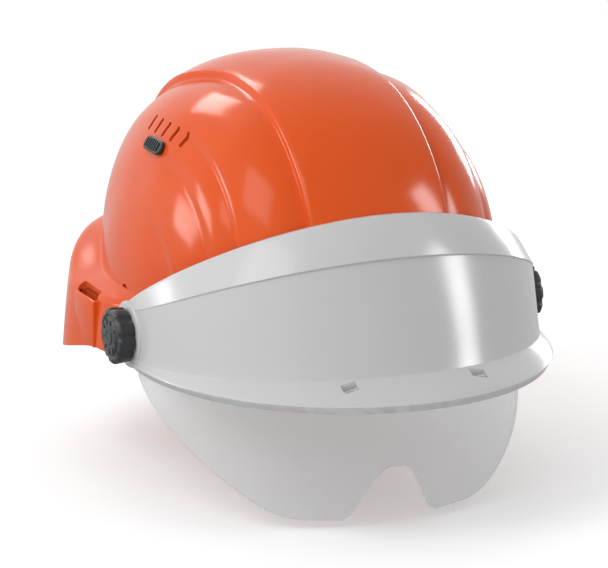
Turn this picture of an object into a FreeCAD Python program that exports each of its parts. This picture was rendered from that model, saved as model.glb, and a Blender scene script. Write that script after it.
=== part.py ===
import FreeCAD, Part
import math
import os

import Sketcher
from FreeCAD import Placement, Rotation, Vector

# A safety helmet with a brow cover, a lens that tilts up behind it, closable vents and a ratchet headband.
# The helmet faces -Y, +X is the wearer's left and +Z is up. The origin lies on the plane of symmetry,
# at the level of the headband's lower edge and under the middle of the dome.

DIMENSIONS = {
    "dome_half_width": 107.0,
    "dome_half_length": 127.0,
    "dome_top": 148.0,
    "plan_power": 2.2,
    "dome_power": 0.92,
    "shell_wall": 2.6,
    "band_half_width": 39.5,
    "band_rise": 3.6,
    "flank_half_width": 73.0,
    "flank_rise": 1.6,
    "lobe_rise": 3.0,
    "gutter_side": 10.0,
    "gutter_corner": 20.0,
    "gutter_rear": 16.0,
    "pivot_back": -42.0,
    "pivot_up": 15.0,
    "boss_face": 109.0,
    "boss_radius": 8.5,
    "ear_inner": 110.1,
    "lens_wall": 2.2,
    "ear_radius": 14.0,
    "lens_reach": 104.0,
    "lens_top": -16.0,
    "cover_wall": 2.8,
    "cover_inner": 115.6,
    "cheek_radius": 18.5,
    "knob_radius": 15.7,
    "knob_depth": 10.5,
    "knob_gap": 0.4,
    "knob_scallop": 3.2,
    "washer_radius": 8.0,
    "washer_inner": 112.6,
    "washer_wall": 2.2,
    "stud_radius": 4.0,
    "stud_clearance": 0.05,
    "nut_width": 13.0,
    "nut_depth": 5.0,
    "vent_width": 3.0,
    "vent_length": 10.0,
    "vent_pitch": 12.0,
    "slider_length": 24.0,
    "slider_width": 8.5,
    "slider_travel": 8.0,
    "catch_height": 3.0,
    "shutter_wall": 1.2,
    "band_ring_width": 78.0,
    "band_ring_length": 98.0,
    "band_ring_height": 30.0,
    "band_ring_wall": 1.8,
    "band_opening": 46.0,
    "brow_pad_wall": 3.0,
    "brow_pad_height": 32.4,
    "strap_width": 20.0,
    "strap_wall": 0.9,
    "strap_half_width": 76.0,
    "strap_half_length": 96.0,
    "strap_top": 108.0,
    "strap_foot": 20.0,
    "hanger_width": 17.0,
    "hanger_wall": 3.0,
    "nape_width": 64.0,
    "nape_height": 30.0,
    "nape_back": 83.0,
    "nape_up": 6.0,
    "rack_height": 6.0,
    "rack_wall": 2.0,
    "rack_length": 62.0,
    "pinion_radius": 5.0,
    "ratchet_radius": 15.0,
    "ratchet_depth": 11.0,
    "slot_width": 27.0,
    "slot_gap": 4.8,
    "strap_hole_radius": 2.5,
    "lug_wall": 3.0,
}

doc = FreeCAD.newDocument("hard_hat")
sheet = doc.addObject("Spreadsheet::Sheet", "dims")
for row, (alias, size) in enumerate(DIMENSIONS.items(), start=1):
    sheet.set("A%d" % row, alias)
    sheet.set("B%d" % row, str(size))
    sheet.setAlias("B%d" % row, alias)
doc.recompute()

parts = []


def size(alias):
    """A driving dimension, read from the sheet."""
    return float(getattr(sheet, alias))


def bind(feature, **sizes):
    """Bind properties of a feature to expressions on the sheet."""
    for name, expression in sizes.items():
        feature.setExpression(name, expression)
    return feature


def primitive(kind, name, place=None, **sizes):
    """A Part primitive with its sizes bound to the sheet."""
    feature = doc.addObject("Part::" + kind, name)
    bind(feature, **sizes)
    if place is not None:
        feature.Placement = place
    return feature


def boolean(kind, name, base, tool):
    feature = doc.addObject("Part::" + kind, name)
    feature.Base = base
    feature.Tool = tool
    return feature


def fuse(name, shapes):
    feature = doc.addObject("Part::MultiFuse", name)
    feature.Shapes = shapes
    return feature


def node(feature, name):
    """Name a finished sub-part and put it on the list of pieces to write."""
    feature.Label = name
    parts.append(feature)
    return feature


def shaped(shape, name, place=None):
    """A sub-part whose surfaces follow a formula."""
    feature = doc.addObject("Part::Feature", name + "_solid")
    feature.Shape = shape
    feature.Placement = place if place is not None else Placement()
    return node(feature, name)


def at(x=0.0, y=0.0, z=0.0, axis=(0, 0, 1), angle=0.0):
    return Placement(Vector(x, y, z), Rotation(Vector(*axis), angle))


def along_x(x, y, z):
    """Placement that lays a cylinder's axis along +X, from x."""
    return at(x, y, z, (0, 1, 0), 90)


def smooth(t):
    """Smooth step from 0 at t = 0 to 1 at t = 1."""
    t = min(1.0, max(0.0, t))
    return t * t * (3 - 2 * t)


# ---------------------------------------------------------------- surfaces


def knots(count, degree=3):
    inner = count - degree
    return list(range(inner + 1)), [degree + 1] + [1] * (inner - 1) + [degree + 1]


def smooth_face(grid):
    """A cubic surface that follows a grid of points closely."""
    surface = Part.BSplineSurface()
    u_knots, u_mults = knots(len(grid))
    v_knots, v_mults = knots(len(grid[0]))
    surface.buildFromPolesMultsKnots(grid, u_mults, v_mults, u_knots, v_knots, False, False, 3, 3)
    return surface


def skin_solid(outer, inner, pole=False):
    """A closed wall between two grids. With a pole, the first row of each grid is one point."""
    faces = [smooth_face(outer).toShape(), smooth_face(inner).toShape()]
    first, last = (outer[0], inner[0]), (outer[-1], inner[-1])
    top = ([line[0] for line in outer], [line[0] for line in inner])
    foot = ([line[-1] for line in outer], [line[-1] for line in inner])
    borders = [first, last, foot] + ([] if pole else [top])
    for pair in borders:
        edges = []
        for line in pair:
            curve = Part.BSplineCurve()
            line_knots, line_mults = knots(len(line))
            curve.buildFromPolesMultsKnots(line, line_mults, line_knots, False, 3)
            edges.append(curve.toShape())
        faces.append(Part.makeRuledSurface(edges[0], edges[1]))
    shell = Part.makeShell(faces)
    shell.sewShape(0.01)
    solid = Part.makeSolid(shell)
    if solid.Volume < 0:
        solid.reverse()
    return solid


def with_mirror(half):
    """Both halves of a piece that is symmetric about the plane X = 0."""
    other = half.mirror(Vector(0, 0, 0), Vector(1, 0, 0))
    return half.fuse(other).removeSplitter()


# ---------------------------------------------------------------- shell

def plan_radius(turn, half_width, half_length):
    """Radius of the oval plan at a turn in degrees from the front."""
    power = size("plan_power")
    across = abs(math.sin(math.radians(turn))) / half_width
    along = abs(math.cos(math.radians(turn))) / half_length
    return (across ** power + along ** power) ** (-1 / power)


def gutter_height(turn):
    """Height of the line where the dome ends and the skirt begins."""
    return 30 + 15 * (1 - smooth((turn - 40) / 35)) + 20 * smooth((turn - 115) / 45)


def gutter_step(turn):
    """How far the skirt stands out from the dome. It is widest behind the ears."""
    step = size("gutter_side") * smooth((turn - 72) / 26)
    step += (size("gutter_corner") - size("gutter_side")) * smooth((turn - 98) / 24)
    return step + (size("gutter_rear") - size("gutter_corner")) * smooth((turn - 140) / 40)


def rim_height(turn):
    """Height of the shell's lower edge."""
    return 24 - 31 * smooth((turn - 35) / 50) - 14 * smooth((turn - 95) / 35)


LOBE_NEAR, LOBE_FAR = 42.0, 95.0


def rise(x, y):
    """Height of the raised bands that run from the brow to the back, and of the lobe that holds the vents."""
    def step(edge):
        return 0.5 * (1 + math.tanh((edge - abs(x)) / 2.2))
    share = min(1.0, max(0.0, (abs(x) - LOBE_NEAR) / (LOBE_FAR - LOBE_NEAR)))
    lobe = 4 * share * (1 - share) * smooth((y + 50) / 50)
    height = size("band_rise") * step(size("band_half_width")) + size("lobe_rise") * lobe
    return height + size("flank_rise") * step(size("flank_half_width"))


def shell_line(turn, depth):
    """Points from the apex down to the rim, at a depth under the outer face."""
    line = []
    radius = plan_radius(turn, size("dome_half_width"), size("dome_half_length"))
    foot = gutter_height(turn)
    sine, cosine = math.sin(math.radians(turn)), math.cos(math.radians(turn))
    steps = 26
    for i in range(steps):
        slope = math.pi / 2 * (1 - i / (steps - 1))
        out, up = math.cos(slope), math.sin(slope)
        flat = radius * abs(out) ** size("dome_power")
        lift = rise(flat * sine, -flat * cosine) - depth
        flat += lift * out
        line.append(Vector(flat * sine, -flat * cosine, foot + (size("dome_top") - foot) * up + lift * up))
    step, rim = gutter_step(turn), rim_height(turn)
    drop = foot - rim
    skirt = [(0.1, -3), (0.55, -5.5), (0.95, -8), (1.0, -12)]
    if step < 0.5:
        skirt = [(0, -3), (0, -5.5), (0, -8), (0, -12)]
    for share, fall in skirt:
        flat = radius + step * share - depth
        line.append(Vector(flat * sine, -flat * cosine, foot + fall - depth * (share if step > 0.5 else 0)))
    for share in (0.6, 0.8, 1.0):
        flat = radius + step * (1 + 0.2 * share) - depth
        line.append(Vector(flat * sine, -flat * cosine, foot - drop * share))
    return line


def shell_grid(depth):
    count = 48
    return [shell_line(180.0 * i / count, depth) for i in range(count + 1)]


def shell_point(turn, slope):
    """A point of the outer face and its outward direction, from the turn and the slope in degrees."""
    lean = math.radians(slope)
    radius = plan_radius(abs(turn), size("dome_half_width"), size("dome_half_length"))
    foot = gutter_height(abs(turn))
    flat = radius * math.cos(lean) ** size("dome_power")
    spin = math.radians(turn)
    lift = rise(flat * math.sin(spin), -flat * math.cos(spin))
    flat += lift * math.cos(lean)
    height = foot + (size("dome_top") - foot) * math.sin(lean) + lift * math.sin(lean)
    return Vector(flat * math.sin(spin), -flat * math.cos(spin), height)


def shell_frame(turn, slope):
    """Placement on the outer face: local Z points outward and local X runs backward along the face."""
    middle = shell_point(turn, slope)
    nudge = 4 if turn > 0 else -4
    back = shell_point(turn + nudge, slope) - shell_point(turn - nudge, slope)
    rising = shell_point(turn, slope + 4) - shell_point(turn, slope - 4)
    back.normalize()
    outward = back.cross(rising)
    outward.normalize()
    if outward.dot(middle) < 0:
        outward = outward * -1
    return Placement(middle, Rotation(back, outward.cross(back), outward, "ZXY"))


def capsule(length, width, height):
    """A bar with round ends, lying along X and centred on the origin."""
    bar = Part.makeBox(length - width, width, height, Vector(-(length - width) / 2, -width / 2, -height / 2))
    for side in (-1, 1):
        end = Vector(side * (length - width) / 2, 0, -height / 2)
        bar = bar.fuse(Part.makeCylinder(width / 2, height, end))
    return bar.removeSplitter()


def placed(shape, place):
    shape.Placement = place.multiply(shape.Placement)
    return shape


VENT_TURN, VENT_SLOPE = 90.5, 41.0
VENT_RISE = 11.0
SIDES = {"right": -1, "left": 1}


def vent_frame(side):
    return shell_frame(side * VENT_TURN, VENT_SLOPE)


def vent_cuts(side):
    """Five vent slots and, below them, the window that the slider's stem runs in."""
    frame = vent_frame(side)
    up = 1 if frame.Rotation.multVec(Vector(0, 1, 0)).z > 0 else -1
    cuts = []
    for i in range(5):
        slot = capsule(size("vent_length"), size("vent_width"), 16)
        shift = Placement(Vector((i - 2) * size("vent_pitch"), up * VENT_RISE, 0), Rotation(Vector(0, 0, 1), 90))
        cuts.append(placed(slot, frame.multiply(shift)))
    window = capsule(size("slider_travel") + 6, 5, 16)
    shift = Placement(Vector(size("slider_travel") / 2, 0, 0), Rotation())
    cuts.append(placed(window, frame.multiply(shift)))
    return cuts


POCKET_BACK, POCKET_FOOT, POCKET_HEAD = 33.0, -8.0, 19.0


def skirt_inside(back):
    """Distance from the plane of symmetry to the skirt's inner face, at a distance behind the origin."""
    across = size("dome_half_width")
    for _ in range(12):
        turn = 90 + math.degrees(math.atan2(back, across))
        flat = plan_radius(turn, size("dome_half_width"), size("dome_half_length"))
        flat += gutter_step(turn) * 1.1 - size("shell_wall")
        across = flat * math.sin(math.radians(turn))
    return across


def accessory_pocket(side):
    """The socket in the skirt that takes an ear muff or a lamp bracket: (solid to add, solid to cut)."""
    gap, width, wall = size("slot_gap"), size("slot_width"), 1.8
    inside = min(skirt_inside(POCKET_BACK + width / 2 + 2), skirt_inside(POCKET_BACK - width / 2 - 2))
    place = Placement(Vector(side * (inside - gap / 2), POCKET_BACK, 0), Rotation())
    block = Part.makeBox(gap + 2 * wall, width + 2 * wall, POCKET_HEAD - POCKET_FOOT,
                         Vector(-gap / 2 - wall, -width / 2 - wall, POCKET_FOOT))
    hole = Part.makeBox(gap, width, 56, Vector(-gap / 2, -width / 2, -20))
    return placed(block, place), placed(hole, place)


LUG_BACK, LUG_FOOT, LUG_REACH, LUG_HALF = 70.0, -9.0, 12.0, 8.0


def strap_lug(side):
    """A flat eyelet inside the rim for a chin strap, with its hole upright: (solid to add, solid to cut)."""
    wall, hole_radius = size("lug_wall"), size("strap_hole_radius")
    inner = skirt_inside(LUG_BACK) - LUG_REACH
    corners = [Vector(inner, LUG_BACK - LUG_HALF, LUG_FOOT), Vector(inner, LUG_BACK + LUG_HALF, LUG_FOOT)]
    for back in (LUG_BACK + LUG_HALF, LUG_BACK, LUG_BACK - LUG_HALF):
        corners.append(Vector(skirt_inside(back) + 1.2, back, LUG_FOOT))
    tab = Part.Face(Part.makePolygon(corners + corners[:1])).extrude(Vector(0, 0, wall))
    hole = Part.makeCylinder(hole_radius, wall + 2, Vector(inner + 5.5, LUG_BACK, LUG_FOOT - 1))
    if side > 0:
        return tab, hole
    flip = (Vector(0, 0, 0), Vector(1, 0, 0))
    return tab.mirror(*flip), hole.mirror(*flip)


def shell_shape():
    half = skin_solid(shell_grid(0), shell_grid(size("shell_wall")), pole=True)
    body = with_mirror(half)
    for side in SIDES.values():
        start = Vector(side * 96, size("pivot_back"), size("pivot_up"))
        boss = Part.makeCylinder(size("boss_radius"), size("boss_face") - 96, start, Vector(side, 0, 0))
        bore = Part.makeCylinder(size("stud_radius") + size("stud_clearance"), 60,
                                 start - Vector(side * 20, 0, 0), Vector(side, 0, 0))
        block, pocket = accessory_pocket(side)
        lug, eye = strap_lug(side)
        body = body.fuse([boss, block, lug])
        for cut in [bore, pocket, eye] + vent_cuts(side):
            body = body.cut(cut)
    return body.removeSplitter()


shell = shaped(shell_shape(), "shell")

# ---------------------------------------------------------------- brow cover and lens

def forward(side_way, ahead, above):
    """A point given from the middle of the lens pivot's axis: sideways, ahead and above."""
    return Vector(side_way, size("pivot_back") - ahead, size("pivot_up") + above)


# Each line of the cover runs from cheek to cheek:
# (extra half width, reach ahead, power of the reach, height at the middle, height at the cheek, its power)
COVER_LINES = [
    (0.0, 83.2, 1.30, 74.5, 18.0, 1.3),
    (0.5, 90.0, 1.15, 66.0, 16.0, 1.3),
    (1.0, 95.8, 1.05, 58.5, 14.2, 1.25),
    (1.2, 98.0, 1.0, 54.0, 13.0, 1.25),
    (1.5, 109.5, 1.0, 26.0, 0.0, 1.1),
    (2.0, 120.0, 1.0, -1.5, -12.5, 1.0),
    (2.5, 122.0, 1.0, -4.5, -13.6, 1.0),
    (6.0, 131.0, 1.0, -9.8, -14.2, 1.0),
    (10.0, 140.5, 1.0, -15.5, -14.8, 1.0),
]
LIP_DROP, CORNER_DROP = 3.8, 2.4


def cover_grid(depth):
    """Grid of the cover's outer face, or of its inner face at a depth."""
    half_width = size("cover_inner") + size("cover_wall") - depth
    grid = []
    count = 60
    for i in range(count + 1):
        angle = math.pi * (i / count - 0.5)
        sine, cosine = math.sin(angle), abs(math.cos(angle))
        line = []
        for extra, reach, bend, middle, cheek, power in COVER_LINES:
            ledge = 1.0 if extra > 2.6 else 0.0
            ahead = (reach - depth * (1 - ledge) - (depth * 0.25 if ledge else 0)) * cosine ** bend
            above = cheek + (middle - cheek) * cosine ** power
            if depth and ledge:
                above -= LIP_DROP
            elif depth and extra == 2.5:
                above -= CORNER_DROP
            line.append(forward((half_width + extra * cosine) * sine, ahead, above))
        grid.append(line)
    return grid


SNAP_SIDE, SNAP_REACH, SNAP_UP = 37.5, 123.5, -9.0
WINDOW_WIDTH, WINDOW_DEPTH = 9.0, 6.0
WEDGE_LENGTH, WEDGE_WIDTH = 7.2, 4.2


def cover_shape():
    body = skin_solid(cover_grid(0), cover_grid(size("cover_wall")))
    for side in SIDES.values():
        near = Vector(side * size("cover_inner"), size("pivot_back"), size("pivot_up"))
        cheek = Part.makeCylinder(size("cheek_radius"), size("cover_wall"), near, Vector(side, 0, 0))
        hole = Part.makeCylinder(size("stud_radius") + size("stud_clearance"), 20,
                                 near - Vector(side * 8, 0, 0), Vector(side, 0, 0))
        corner = forward(side * SNAP_SIDE - WINDOW_WIDTH / 2, SNAP_REACH, SNAP_UP - 10)
        window = Part.makeBox(WINDOW_WIDTH, WINDOW_DEPTH, 14.0, corner)
        body = body.fuse(cheek).cut(hole).cut(window)
    return body.removeSplitter()


cover = shaped(cover_shape(), "visor_cover")


LOBE_FOOT, NOTCH_HEIGHT, NOTCH_FLAT, NOTCH_FLARE = -93.0, 30.7, 2.0, 26.0
SIDE_START, SIDE_CLIMB, SIDE_ROUND = 32.2, 1.2, 6.0


def lens_foot(turn):
    """Height of the lens's lower edge, from the pivot, at a turn in degrees from straight ahead.
    Two round lobes hang beside the nose notch and climb evenly towards the temples."""
    across = (size("ear_inner") + size("lens_wall")) * abs(math.sin(math.radians(turn)))
    flare = max(0.0, across - NOTCH_FLAT) / NOTCH_FLARE
    notch = NOTCH_HEIGHT * (1 - smooth(flare ** 1.25))
    beyond = abs(turn) - SIDE_START
    return LOBE_FOOT + notch + SIDE_CLIMB * (beyond + math.hypot(beyond, SIDE_ROUND)) / 2


def lens_grid(depth):
    grid = []
    count, rows = 96, 12
    half_width = size("ear_inner") + size("lens_wall") - depth
    for i in range(count + 1):
        angle = math.pi * (i / count - 0.5)
        sine, cosine = math.sin(angle), abs(math.cos(angle))
        top = size("lens_top") + 24 * (1 - cosine) ** 2
        foot = lens_foot(math.degrees(angle))
        line = []
        for j in range(rows + 1):
            above = top + (foot - top) * j / rows
            reach = size("lens_reach") - 0.0019 * (above + 10) ** 2 - depth
            line.append(forward(half_width * sine, reach * cosine ** 1.15, above))
        grid.append(line)
    return grid


def lens_shape():
    body = skin_solid(lens_grid(0), lens_grid(size("lens_wall")))
    for side in SIDES.values():
        near = Vector(side * size("ear_inner"), size("pivot_back"), size("pivot_up"))
        ear = Part.makeCylinder(size("ear_radius"), size("lens_wall"), near, Vector(side, 0, 0))
        hole = Part.makeCylinder(size("stud_radius") + size("stud_clearance"), 20,
                                 near - Vector(side * 8, 0, 0), Vector(side, 0, 0))
        body = body.fuse(ear).cut(hole)
    return body.removeSplitter()


lens = shaped(lens_shape(), "lens")

# ---------------------------------------------------------------- pieces drawn as sketches


def origin_plane(body, role):
    return next(item for item in body.Origin.OriginFeatures if item.Role == role)


def new_body(name, place=None):
    body = doc.addObject("PartDesign::Body", name + "_body")
    if place is not None:
        body.Placement = place
    return node(body, name)


def new_sketch(body, name):
    sketch = body.newObject("Sketcher::SketchObject", name)
    sketch.AttachmentSupport = [(origin_plane(body, "XY_Plane"), "")]
    sketch.MapMode = "FlatFace"
    return sketch


def add_circle(sketch, radius, x=0.0, y=0.0, radius_from=None):
    index = sketch.addGeometry(Part.Circle(Vector(x, y, 0), Vector(0, 0, 1), radius), False)
    sketch.addConstraint(Sketcher.Constraint("DistanceX", -1, 1, index, 3, x))
    sketch.addConstraint(Sketcher.Constraint("DistanceY", -1, 1, index, 3, y))
    bound = sketch.addConstraint(Sketcher.Constraint("Radius", index, radius))
    if radius_from:
        sketch.setExpression("Constraints[%d]" % bound, radius_from)


def add_outline(sketch, corners):
    count = len(corners)
    first = sketch.GeometryCount
    for i in range(count):
        ends = [Vector(*corners[i], 0), Vector(*corners[(i + 1) % count], 0)]
        sketch.addGeometry(Part.LineSegment(*ends), False)
    for i in range(count):
        sketch.addConstraint(Sketcher.Constraint("Coincident", first + i, 2, first + (i + 1) % count, 1))
        sketch.addConstraint(Sketcher.Constraint("DistanceX", -1, 1, first + i, 1, corners[i][0]))
        sketch.addConstraint(Sketcher.Constraint("DistanceY", -1, 1, first + i, 1, corners[i][1]))


def pad(body, sketch, name, length, back=False):
    feature = body.newObject("PartDesign::Pad", name)
    feature.Profile = sketch
    feature.setExpression("Length", length)
    feature.Reversed = back
    sketch.Visibility = False
    body.Tip = feature
    return feature


def pocket(body, sketch, name, length):
    """Cut a sketch into the side that a plain pad fills."""
    feature = body.newObject("PartDesign::Pocket", name)
    feature.Profile = sketch
    feature.setExpression("Length", length)
    feature.Reversed = True
    body.Tip = feature
    doc.recompute()
    return feature


def polar(body, feature, name, count):
    pattern = body.newObject("PartDesign::PolarPattern", name)
    pattern.Originals = [feature]
    pattern.Axis = (origin_plane(body, "Z_Axis"), [""])
    pattern.Angle = 360
    pattern.Occurrences = count
    body.Tip = pattern
    doc.recompute()
    return pattern


def scalloped_knob(name, place, radius, depth, count):
    """A round knob with finger scallops, standing on its own XY plane."""
    body = new_body(name, place)
    disc = new_sketch(body, name + "_disc")
    add_circle(disc, 1.0, radius_from=radius)
    pad(body, disc, name + "_pad", depth)
    doc.recompute()
    before = body.Shape.Volume
    scallop = new_sketch(body, name + "_scallop")
    reach = size(radius.split(".")[1]) + 0.45 * size("knob_scallop")
    add_circle(scallop, 1.0, x=reach, radius_from="dims.knob_scallop")
    cut = pocket(body, scallop, name + "_cut", depth)
    polar(body, cut, name + "_ring", count)
    assert body.Shape.Volume < before - 10
    return body


def outward_x(side, inner, y=None, z=None):
    """Placement at a distance from the plane of symmetry, with local Z pointing outward."""
    y = size("pivot_back") if y is None else y
    z = size("pivot_up") if z is None else z
    return at(side * inner, y, z, (0, 1, 0), side * 90)


def ring(name, place, radius, hole, length):
    body = new_body(name, place)
    sketch = new_sketch(body, name + "_ring")
    add_circle(sketch, 9.0, radius_from=radius)
    add_circle(sketch, 4.0, radius_from=hole)
    pad(body, sketch, name + "_pad", length)
    return body


HEX = [(math.cos(math.radians(60 * i)) / math.cos(math.radians(30)) / 2,
        math.sin(math.radians(60 * i)) / math.cos(math.radians(30)) / 2) for i in range(6)]
STUD_INNER = 90.5
NUT_INNER = 90.9
STUD_HOLE = "dims.stud_radius + dims.stud_clearance"

for label, side in SIDES.items():
    seat = size("cover_inner") + size("cover_wall") + size("knob_gap")
    name = "clamp_knob_" + label
    knob = scalloped_knob(name, outward_x(side, seat), "dims.knob_radius", "dims.knob_depth", 9)
    stud = new_sketch(knob, name + "_stud")
    add_circle(stud, 4.0, radius_from="dims.stud_radius")
    pad(knob, stud, name + "_stud_pad",
        "dims.cover_inner + dims.cover_wall + dims.knob_gap - %s" % STUD_INNER, back=True)

    ring("friction_washer_" + label, outward_x(side, size("washer_inner")), "dims.washer_radius",
         STUD_HOLE, "dims.washer_wall")

    name = "clamp_nut_" + label
    nut = new_body(name, outward_x(side, NUT_INNER))
    hexagon = new_sketch(nut, name + "_hexagon")
    add_outline(hexagon, [(x * size("nut_width"), y * size("nut_width")) for x, y in HEX])
    add_circle(hexagon, 4.0, radius_from=STUD_HOLE)
    pad(nut, hexagon, name + "_pad", "dims.nut_depth")

    name = "cover_catch_" + label
    corner = forward(side * SNAP_SIDE - WEDGE_LENGTH / 2, SNAP_REACH - 0.8, SNAP_UP - 3.2)
    catch = new_body(name, Placement(corner, Rotation()))
    wedge = new_sketch(catch, name + "_wedge")
    add_outline(wedge, [(0, 0), (WEDGE_LENGTH, 0), (WEDGE_LENGTH, WEDGE_WIDTH)])
    pad(catch, wedge, name + "_pad", "dims.catch_height")

# ---------------------------------------------------------------- vent sliders


def inner_face_low(side, x_low, x_high, y_low, y_high):
    """Lowest level of the shell's inner face, in the vent's frame, over a patch."""
    frame = vent_frame(side)
    back = frame.inverse()
    low = 0.0
    for i in range(-28, 29):
        for j in range(-28, 29):
            local = back.multVec(shell_point(side * (VENT_TURN + i), VENT_SLOPE + j))
            if x_low < local.x < x_high and y_low < local.y < y_high:
                low = min(low, local.z)
    return low - size("shell_wall") * 1.08


for label, side in SIDES.items():
    frame = vent_frame(side)
    up = 1 if frame.Rotation.multVec(Vector(0, 1, 0)).z > 0 else -1
    travel, half_span = size("slider_travel"), 2 * size("vent_pitch") + 3
    shutter_top = inner_face_low(side, -half_span, half_span + travel, -22, 22) - 1.0
    wall = size("shutter_wall")
    corner = Vector(-half_span, -4 if up > 0 else -22, shutter_top - wall)
    plate = Part.makeBox(2 * half_span, 26, wall, corner).cut(capsule(4.4, 3.0, 40))
    for i in range(5):
        opening = capsule(size("vent_length") + 2, size("vent_width") + 1, 40)
        shift = Vector((i - 2) * size("vent_pitch"), up * VENT_RISE, 0)
        plate = plate.cut(placed(opening, Placement(shift, Rotation(Vector(0, 0, 1), 90))))
    shaped(plate, "vent_shutter_" + label, frame)

    grip = capsule(size("slider_length"), size("slider_width"), 2.6)
    grip.translate(Vector(0, 0, 1.7))
    for i in range(-3, 4):
        groove = Part.makeBox(0.9, 5.6, 1, Vector(i * 2.6 - 0.45, -2.8, 2.4))
        grip = grip.cut(groove)
    stem = capsule(4.2, 2.8, 0.5 - (shutter_top - wall))
    stem.translate(Vector(0, 0, (0.5 + shutter_top - wall) / 2))
    shaped(grip.fuse(stem).removeSplitter(), "vent_slider_" + label, frame)

# ---------------------------------------------------------------- headband and cradle


def oval(name, across, along, low, height):
    """An upright oval prism. Its long axis lies front to back."""
    curve = doc.addObject("Part::Ellipse", name + "_curve")
    bind(curve, MajorRadius=along, MinorRadius=across)
    curve.Placement = at(0, 0, low, (0, 0, 1), 90)
    prism = doc.addObject("Part::Extrusion", name)
    prism.Base = curve
    prism.DirMode = "Custom"
    prism.Dir = Vector(0, 0, 1)
    prism.Solid = True
    prism.setExpression("LengthFwd", height)
    return prism


def box(name, place, **sizes):
    return primitive("Box", name, place, **sizes)


band_outer = oval("band_outer", "dims.band_ring_width + dims.band_ring_wall",
                  "dims.band_ring_length + dims.band_ring_wall", 0, "dims.band_ring_height")
band_inner = oval("band_inner", "dims.band_ring_width", "dims.band_ring_length", 0, "dims.band_ring_height")
band_gap = box("band_gap", at(-size("band_opening"), 60, -1), Length="2 * dims.band_opening", Width="60",
               Height="dims.band_ring_height + 2")
band_ring = boolean("Cut", "band_open", boolean("Cut", "band_wall", band_outer, band_inner), band_gap)
TAIL_NEAR, TAIL_LENGTH = 34.0, 28.0
tails = []
for label, side in SIDES.items():
    start = TAIL_NEAR if side > 0 else -TAIL_NEAR - TAIL_LENGTH
    tails.append(box("band_tail_" + label, at(start, size("nape_back") - 3.4, 0), Length=str(TAIL_LENGTH),
                     Width="dims.band_ring_wall", Height="dims.band_ring_height * 0.8"))
band_trim = oval("band_trim", "dims.band_ring_width", "dims.band_ring_length + 40", -1,
                 "dims.band_ring_height + 2")
tail_pair = boolean("Common", "band_tails", fuse("band_tail_pair", tails), band_trim)
headband = node(fuse("headband_ring", [band_ring, tail_pair]), "headband")

pad_outer = oval("brow_outer", "dims.band_ring_width - 0.3", "dims.band_ring_length - 0.3", -2,
                 "dims.brow_pad_height")
pad_inner = oval("brow_inner", "dims.band_ring_width - 0.3 - dims.brow_pad_wall",
                 "dims.band_ring_length - 0.3 - dims.brow_pad_wall", -2, "dims.brow_pad_height")
brow_side = box("brow_side", at(-100, -110, -3), Length="200", Width="75", Height="dims.brow_pad_height + 2")
brow_ring = boolean("Cut", "brow_ring", pad_outer, pad_inner)
node(boolean("Common", "brow_pad_arc", brow_ring, brow_side), "brow_pad")

HANGER_FOOT, HANGER_TOP = 31.0, 41.0
POINTS = {"front_right": -42.0, "front_left": 42.0, "side_right": -90.0, "side_left": 90.0,
          "rear_right": -138.0, "rear_left": 138.0}


def shell_inside(turn, low, high):
    """Smallest distance from the middle to the shell's inner face between two heights."""
    line = shell_line(abs(turn), size("shell_wall"))
    near = []
    for upper, lower in zip(line[:-1], line[1:]):
        for i in range(9):
            point = upper + (lower - upper) * (i / 8)
            if low <= point.z <= high:
                near.append(math.hypot(point.x, point.y))
    return min(near)


def band_radius(turn):
    across = math.sin(math.radians(turn)) / (size("band_ring_width") + size("band_ring_wall"))
    along = math.cos(math.radians(turn)) / (size("band_ring_length") + size("band_ring_wall"))
    return 1 / math.hypot(across, along)


TIP_CLEAR, LEG_CLEAR = 2.0, 2.2
for label, turn in POINTS.items():
    width, wall = size("hanger_width"), size("hanger_wall")
    near = band_radius(turn)
    far = shell_inside(turn, HANGER_FOOT, HANGER_TOP) - TIP_CLEAR - width ** 2 / 8 / 90
    leg = Part.makeBox(width, wall, HANGER_FOOT - 6, Vector(-width / 2, -near - wall - LEG_CLEAR, 6))
    beam = Part.makeBox(width, far - near + wall + 2, 4, Vector(-width / 2, -far, HANGER_FOOT))
    key = Part.makeBox(width * 0.6, 3, HANGER_TOP - HANGER_FOOT, Vector(-width * 0.3, -far, HANGER_FOOT))
    hook = Part.makeBox(width, 3, HANGER_TOP - HANGER_FOOT, Vector(-width / 2, -near + 2, HANGER_FOOT))
    shaped(leg.fuse([beam, key, hook]).removeSplitter(), "hanger_" + label, at(angle=turn))

STRAPS = {"cradle_strap_middle": 90.0, "cradle_strap_right": 42.0, "cradle_strap_left": -42.0}
for i, (name, turn) in enumerate(STRAPS.items()):
    lift = "%s" % (i * 1.2)
    outer = primitive("Ellipsoid", name + "_outer", at(0, 0, size("strap_foot")),
                      Radius1="dims.strap_top - dims.strap_foot + dims.strap_wall + " + lift,
                      Radius2="dims.strap_half_width + dims.strap_wall + " + lift,
                      Radius3="dims.strap_half_length + dims.strap_wall + " + lift)
    inner = primitive("Ellipsoid", name + "_inner", at(0, 0, size("strap_foot")),
                      Radius1="dims.strap_top - dims.strap_foot + " + lift,
                      Radius2="dims.strap_half_width + " + lift,
                      Radius3="dims.strap_half_length + " + lift)
    turned = Rotation(Vector(0, 0, 1), turn)
    corner = turned.multVec(Vector(-size("strap_width") / 2, -120, 0)) + Vector(0, 0, HANGER_TOP)
    slab = box(name + "_slab", Placement(corner, turned), Length="dims.strap_width", Width="240",
               Height="120")
    node(boolean("Common", name + "_cut", boolean("Cut", name + "_dome", outer, inner), slab), name)

node(primitive("Cylinder", "crown_disc", at(0, 0, size("strap_top") + 3.6), Radius="dims.strap_width * 0.6",
               Height="1"), "crown_patch")

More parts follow.
